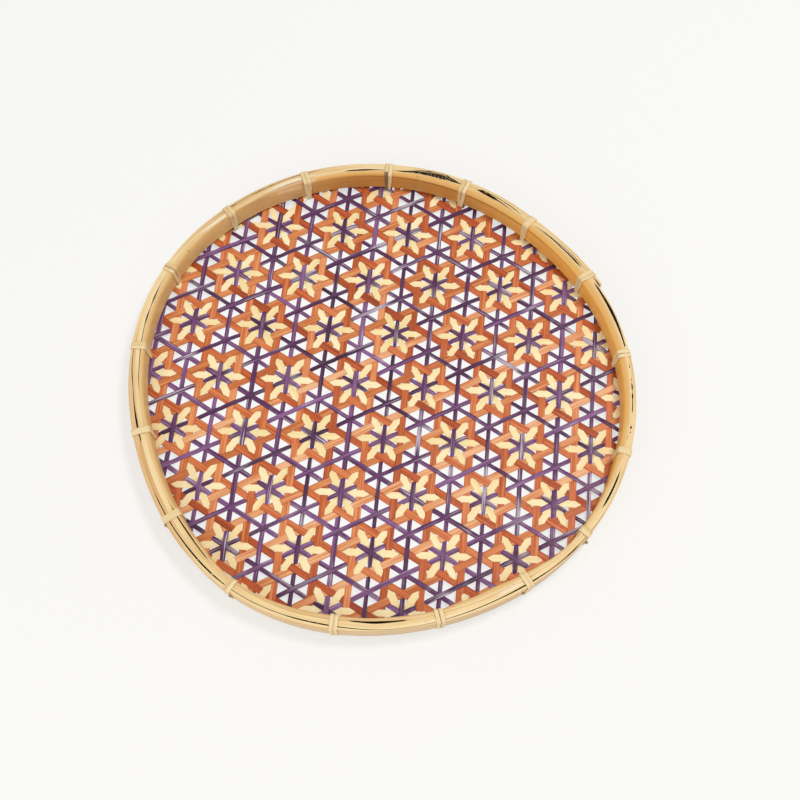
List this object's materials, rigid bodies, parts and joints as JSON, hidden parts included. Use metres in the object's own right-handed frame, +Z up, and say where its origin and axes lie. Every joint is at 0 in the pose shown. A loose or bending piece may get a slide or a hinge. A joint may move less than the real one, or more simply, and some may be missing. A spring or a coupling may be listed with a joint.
{
  "type": "hanging wall basket",
  "caption": "Shallow round bamboo tray for hanging on a wall: an openwork mat of coloured strips clamped between two bent hoops and bound with rattan ties.",
  "frame": {"origin": "under the middle of the tray's bounding box, level with the undersides of the ties", "axes": "+Z up through the open side of the tray as it lies on its back, +Y towards the far rim, which is the top edge when the tray hangs, +X to the right"},
  "size_m": [0.3984, 0.4066, 0.0235],
  "materials": {
    "bamboo_gold": "smooth satin bamboo skin",
    "bamboo_pale": "satin split bamboo",
    "rattan": "satin peeled rattan",
    "cut_ends": "rough cut strip ends",
    "dyed_orange": "satin dyed bamboo strip",
    "dyed_purple": "satin dyed bamboo strip",
    "natural_yellow": "satin natural bamboo strip"
  },
  "bodies": {
    "root": {"inner_hoop": "bamboo_gold", "mat_edge": "cut_ends", "orange_strips_falling": "dyed_orange", "orange_strips_rising": "dyed_orange", "orange_strips_upright": "dyed_orange", "outer_hoop": "bamboo_pale", "purple_strips_falling": "dyed_purple", "purple_strips_rising": "dyed_purple", "purple_strips_upright": "dyed_purple", "tie_01": "rattan", "tie_02": "rattan", "tie_03": "rattan", "tie_04": "rattan", "tie_05": "rattan", "tie_06": "rattan", "tie_07": "rattan", "tie_08": "rattan", "tie_09": "rattan", "tie_10": "rattan", "tie_11": "rattan", "tie_12": "rattan", "tie_13": "rattan", "tie_14": "rattan", "tie_15": "rattan", "tie_16": "rattan", "tie_17": "rattan", "yellow_strips_across": "natural_yellow", "yellow_strips_falling": "natural_yellow", "yellow_strips_rising": "natural_yellow"}
  },
  "joints": []
}
